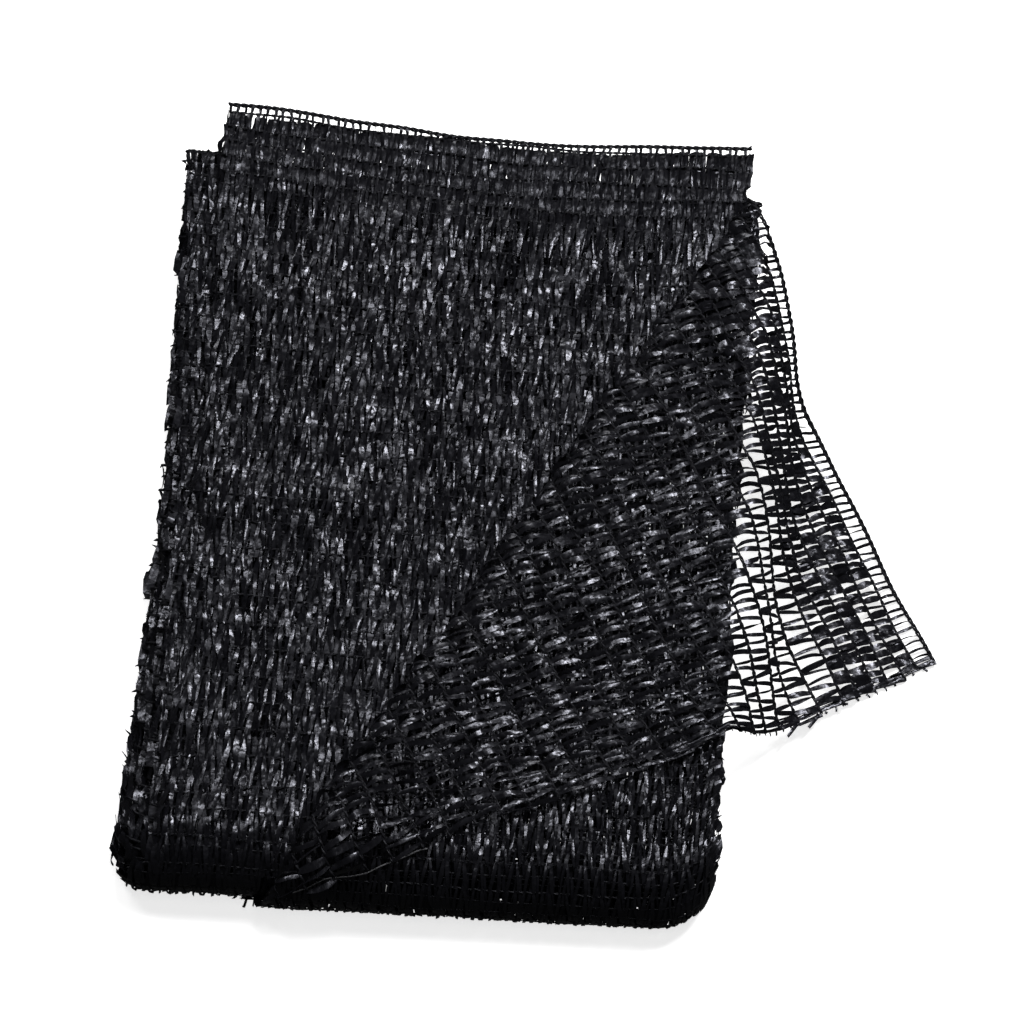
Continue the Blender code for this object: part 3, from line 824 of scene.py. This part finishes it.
def flap_flat(x, v):
    """The turned corner without what its threads stick out past the selvedge."""
    from_selvedge = (x - SHEET_CORNER.x) * SELVEDGE_AWAY.x + (v - SHEET_CORNER.y) * SELVEDGE_AWAY.y
    return on_flap(x, v) & (from_selvedge > 0.0)


def top_flat(x, v):
    """The top ply up to the crease, and the front turn below it."""
    return between(TOP_BACK_V, -FAR)(x, v) & ((past_crease(x, v) <= 0.0) | (v < CREASE_FRONT.y))


FRONT_END = ply_start(11) - 20.0
TURN_V = CREASE_FRONT.y - CREASE_LAP
SECOND_START = ply_start(1) + 85.0
THIRD_START, THIRD_END = ply_start(2) + 8.0, ply_start(2) - 340.0
INNER_LIMITS = (-1500.0, -2400.0)
FLAP_S, FLAP_END, TOP_END = (-30.0, 270.0), first_wale(-230.0), first_wale(-240.0)
FLAP_BULGE, UNDER_TAPE, INNER_TAPE, INNER_BULGE = 1.9, 2.6, 3.3, 0.8
# A second backing layer along the front ply's lower edge and along the pack's left rim
EDGE_DEPTH, EDGE_TAPE = 60.0, 3.9
RIM_DEPTH, RIM_LAP, RIM_TAPE, RIM_SWING = 75.0, 12.0, 4.2, 0.12
SECOND_SHORT, SECOND_LONG = 1.0, 3.4


def stretch(net, lattice, high_v, low_v, fine, margins=None):
    """Knits the part of the sheet between two values of v, over its whole width or at its ends."""
    first, last = max(first_wale(high_v) - 1, 0), first_wale(low_v)
    knit(net, lattice, LOW_S, HIGH_S, between(high_v, low_v, margins=margins), fine, first, last)


def turned_corner():
    flap = Net("net_turned_corner")
    flap.shown_side, flap.bulge, flap.tip_unrest = -1.0, FLAP_BULGE, 1.0
    knit(flap, FLAP, *FLAP_S, on_flap, 3, last=FLAP_END)
    fray(flap)
    return flap, flat_size(flap_flat, FLAP_FAR_V, CREASE_FRONT.y)


def top_and_front():
    top = Net("net_top_and_front")
    top.sunk, top.tape_width, top.bulge = PLIES_SUNK, PLIES_TAPE, PLIES_BULGE
    knit(top, FLAP, *FLAP_S, under_flap, 0, last=FLAP_END)
    knit(top, PLAIN, LOW_S, HIGH_S, top_open, 2, last=TOP_END)
    stretch(top, PLAIN, TURN_V, FRONT_END, 2)
    loose_thread(top)
    top.lift = UNDER_LIFT
    knit(top, UNDER, LOW_S, HIGH_S, top_open, 1, last=TOP_END)
    stretch(top, UNDER, TURN_V, FRONT_END, 1)
    top.lift, top.tape_width = 2 * UNDER_LIFT, EDGE_TAPE
    stretch(top, UNDER, FRONT_END + EDGE_DEPTH, FRONT_END, 1)
    return top, flat_size(top_flat, TOP_BACK_V, FRONT_END)


def second_ply():
    second = Net("net_second_ply")
    second.sunk, second.tape_width, second.bulge = PLIES_SUNK, PLIES_TAPE, PLIES_BULGE
    second.shown_side, second.close_widening = -1.0, 1.0
    first = first_wale(SECOND_START)
    for part, fine in ((second_shown, 2), (second_hidden, 0)):
        laid = between(SECOND_START, END_V - SECOND_SHORT, part)
        knit(second, PLAIN, LOW_S, HIGH_S, laid, fine, first)
    second.lift, second.tape_width, second.close_widening = UNDER_LIFT, UNDER_TAPE, CLOSE_WIDENING
    open_back = between(SECOND_START, END_V + SECOND_LONG, second_shown)
    knit(second, UNDER_BACK, LOW_S, HIGH_S, open_back, 1, first)
    second.lift, second.tape_width, second.swing = 2 * UNDER_LIFT, RIM_TAPE, RIM_SWING
    rim_v = SECOND_START - RIM_DEPTH
    rim = between(SECOND_START - RIM_LAP, rim_v)
    knit(second, RIM, LOW_S, RIM_END_S, rim, 1, first - 1, first_wale(rim_v))
    return second, flat_size(between(SECOND_START, END_V), SECOND_START, END_V)


def inner_plies(number, high, low):
    """A stretch of the plies inside, whose threads are fine only near its two ends."""
    inner = Net(f"net_inner_plies_{number}")
    third = high == THIRD_START
    inner.tape_width, inner.bulge = (PLIES_TAPE, PLIES_BULGE) if third else (INNER_TAPE, INNER_BULGE)
    stretch(inner, PLAIN, high, low, 2 if third else 1, margins=True)
    stretch(inner, PLAIN, high, low, 0, margins=False)
    if third:
        inner.lift, inner.tape_width = UNDER_LIFT, UNDER_TAPE
        stretch(inner, UNDER, high, low, 1, margins=True)
    return inner, flat_size(between(high, low), high, low)


def main_pieces(materials):
    """Each piece of the net with its flat size."""
    pieces = [turned_corner(), top_and_front(), second_ply()]
    limits = [FRONT_END, *INNER_LIMITS, THIRD_START, THIRD_END, SECOND_START]
    pieces += [inner_plies(n + 1, high, low) for n, (high, low) in enumerate(zip(limits, limits[1:]))]
    return [(net.make(materials), flat) for net, flat in pieces]


# ---------------------------------------------------------------- materials
REFLECTION = (0.88, 0.89, 1.0, 1.0)
DARKEST, LIGHTEST = 0.7, 1.4
GRAIN_DETAIL, GRAIN_RANGE = 0.8, (0.3, 0.7)


def fill(node, **values):
    """Sets a node's inputs, each named with _ for its spaces."""
    for name, value in values.items():
        node.inputs[name.replace("_", " ")].default_value = value


def plastic(name, colour, roughness, specular, bump, crumple, scale, drawn_out):
    """A black plastic whose grain varies its colour, its roughness and, as a bump, its surface."""
    material = bpy.data.materials.new(name)
    material.use_nodes = True
    nodes, links = material.node_tree.nodes, material.node_tree.links
    shader = nodes["Principled BSDF"]
    fill(shader, Metallic=0.0, Specular_Tint=REFLECTION, Specular_IOR_Level=specular)
    where = nodes.new("ShaderNodeUVMap")
    where.uv_map = "net"
    along = nodes.new("ShaderNodeMapping")
    fill(along, Scale=(1.0, drawn_out, 1.0))
    links.new(where.outputs["UV"], along.inputs["Vector"])
    grain = nodes.new("ShaderNodeTexNoise")
    fill(grain, Scale=scale, Detail=GRAIN_DETAIL)
    links.new(along.outputs["Vector"], grain.inputs["Vector"])
    tint = nodes.new("ShaderNodeMix")
    tint.data_type = "RGBA"
    tint.inputs[6].default_value = (*[c * DARKEST for c in colour], 1.0)
    tint.inputs[7].default_value = (*[c * LIGHTEST for c in colour], 1.0)
    links.new(grain.outputs["Fac"], tint.inputs[0])
    links.new(tint.outputs[2], shader.inputs["Base Color"])
    spread = nodes.new("ShaderNodeMapRange")
    fill(spread, From_Min=GRAIN_RANGE[0], From_Max=GRAIN_RANGE[1])
    fill(spread, To_Min=roughness[0], To_Max=roughness[1])
    links.new(grain.outputs["Fac"], spread.inputs["Value"])
    links.new(spread.outputs["Result"], shader.inputs["Roughness"])
    raised = nodes.new("ShaderNodeBump")
    fill(raised, Strength=bump, Distance=crumple)
    links.new(grain.outputs["Fac"], raised.inputs["Height"])
    links.new(raised.outputs["Normal"], shader.inputs["Normal"])
    return material


# ---------------------------------------------------------------- stage
WHITE = (1.0, 1.0, 1.0, 1.0)
FLOOR_SIZE, FLOOR_Z, FLOOR_COLOUR = 8.0, -0.0002, (0.92, 0.92, 0.92, 1.0)
FLOOR_ROUGHNESS, FLOOR_GLOW, ROOM_GLOW = 0.9, 0.75, 0.03
LAMP_DISTANCE, LAMP_TARGET = 1.8, (0.0, 0.0, 0.02)
# Name, azimuth, elevation, size and power
LAMPS = (
    ("key", 168.0, 75.0, (0.42, 0.42), 8.3),
    ("left", 238.0, 58.0, (0.45, 0.45), 6.5),
    ("right", 134.0, 58.0, (0.45, 0.45), 24.0),
    ("back", 186.0, 16.0, (0.6, 0.35), 4.0),
    ("front", 6.0, 78.0, (0.45, 0.45), 1.5),
)
EYE_AZIMUTH, EYE_ELEVATION, EYE_DISTANCE = 5.8, 65.0, 1.786
EYE_TARGET = (0.0, 0.0, 25.0)
LENS, SENSOR, CLIP_START = 135.0, 36.0, 0.05


def floor():
    bpy.ops.mesh.primitive_plane_add(size=FLOOR_SIZE, location=(0.0, 0.0, FLOOR_Z))
    plane = bpy.context.object
    plane.name = "stage_floor"
    material = bpy.data.materials.new("pale_floor")
    material.use_nodes = True
    shader = material.node_tree.nodes["Principled BSDF"]
    fill(shader, Base_Color=FLOOR_COLOUR, Roughness=FLOOR_ROUGHNESS)
    fill(shader, Emission_Color=WHITE, Emission_Strength=FLOOR_GLOW)
    plane.data.materials.append(material)
    plane.visible_glossy = False
    plane.visible_diffuse = False
    return plane


def aim(item, azimuth, elevation, distance, target):
    """Puts a lamp or camera at a distance from the target, facing it."""
    a, e = math.radians(azimuth), math.radians(elevation)
    back = Vector((math.sin(a) * math.cos(e), -math.cos(a) * math.cos(e), math.sin(e)))
    item.location = Vector(target) + back * distance
    item.rotation_euler = back.to_track_quat("Z", "Y").to_euler()
    bpy.context.scene.collection.objects.link(item)


def light(name, azimuth, elevation, size, power):
    data = bpy.data.lights.new(name, "AREA")
    data.shape = "RECTANGLE"
    data.size, data.size_y = size
    data.energy = power
    aim(bpy.data.objects.new(name, data), azimuth, elevation, LAMP_DISTANCE, LAMP_TARGET)


def camera():
    data = bpy.data.cameras.new("camera")
    data.lens, data.sensor_width, data.clip_start = LENS, SENSOR, CLIP_START
    eye = bpy.data.objects.new("camera", data)
    target = (Vector(EYE_TARGET) - Vector(ORIGIN)) * MM
    aim(eye, EYE_AZIMUTH, EYE_ELEVATION, EYE_DISTANCE, target)
    bpy.context.scene.camera = eye


def world():
    made = bpy.data.worlds.new("studio")
    bpy.context.scene.world = made
    made.use_nodes = True
    fill(made.node_tree.nodes["Background"], Color=WHITE, Strength=ROOM_GLOW)


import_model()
camera()
world()
bottom = floor()
for lamp in LAMPS:
    light(*lamp)
bpy.context.scene.view_settings.view_transform = "Standard"

tape = plastic("black_tape", (0.005, 0.005, 0.0065), (0.20, 0.34), 0.5, 1.0, 0.0004, 42.0, 0.98)
thread = plastic("black_thread", (0.004, 0.004, 0.005), (0.45, 0.65), 0.2, 0.5, 0.0004, 140.0, 1.0)
# The loose thread's grey is a painted highlight: black thread drawn lighter so that it looks lit.
painted_glint_thread = plastic("worn_thread", (0.10, 0.10, 0.105), (0.35, 0.5), 0.5, 0.5, 0.0002, 140.0, 1.0)
dull = plastic("dull_tape", (0.005, 0.005, 0.0065), (0.25, 0.42), 0.18, 1.0, 0.0004, 42.0, 0.98)
made = main_pieces([tape, thread, painted_glint_thread, dull])
for (piece, flat), below in zip(made, [*(piece for piece, _ in made[1:]), bottom]):
    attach(piece, "root")
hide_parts("net_sheet")
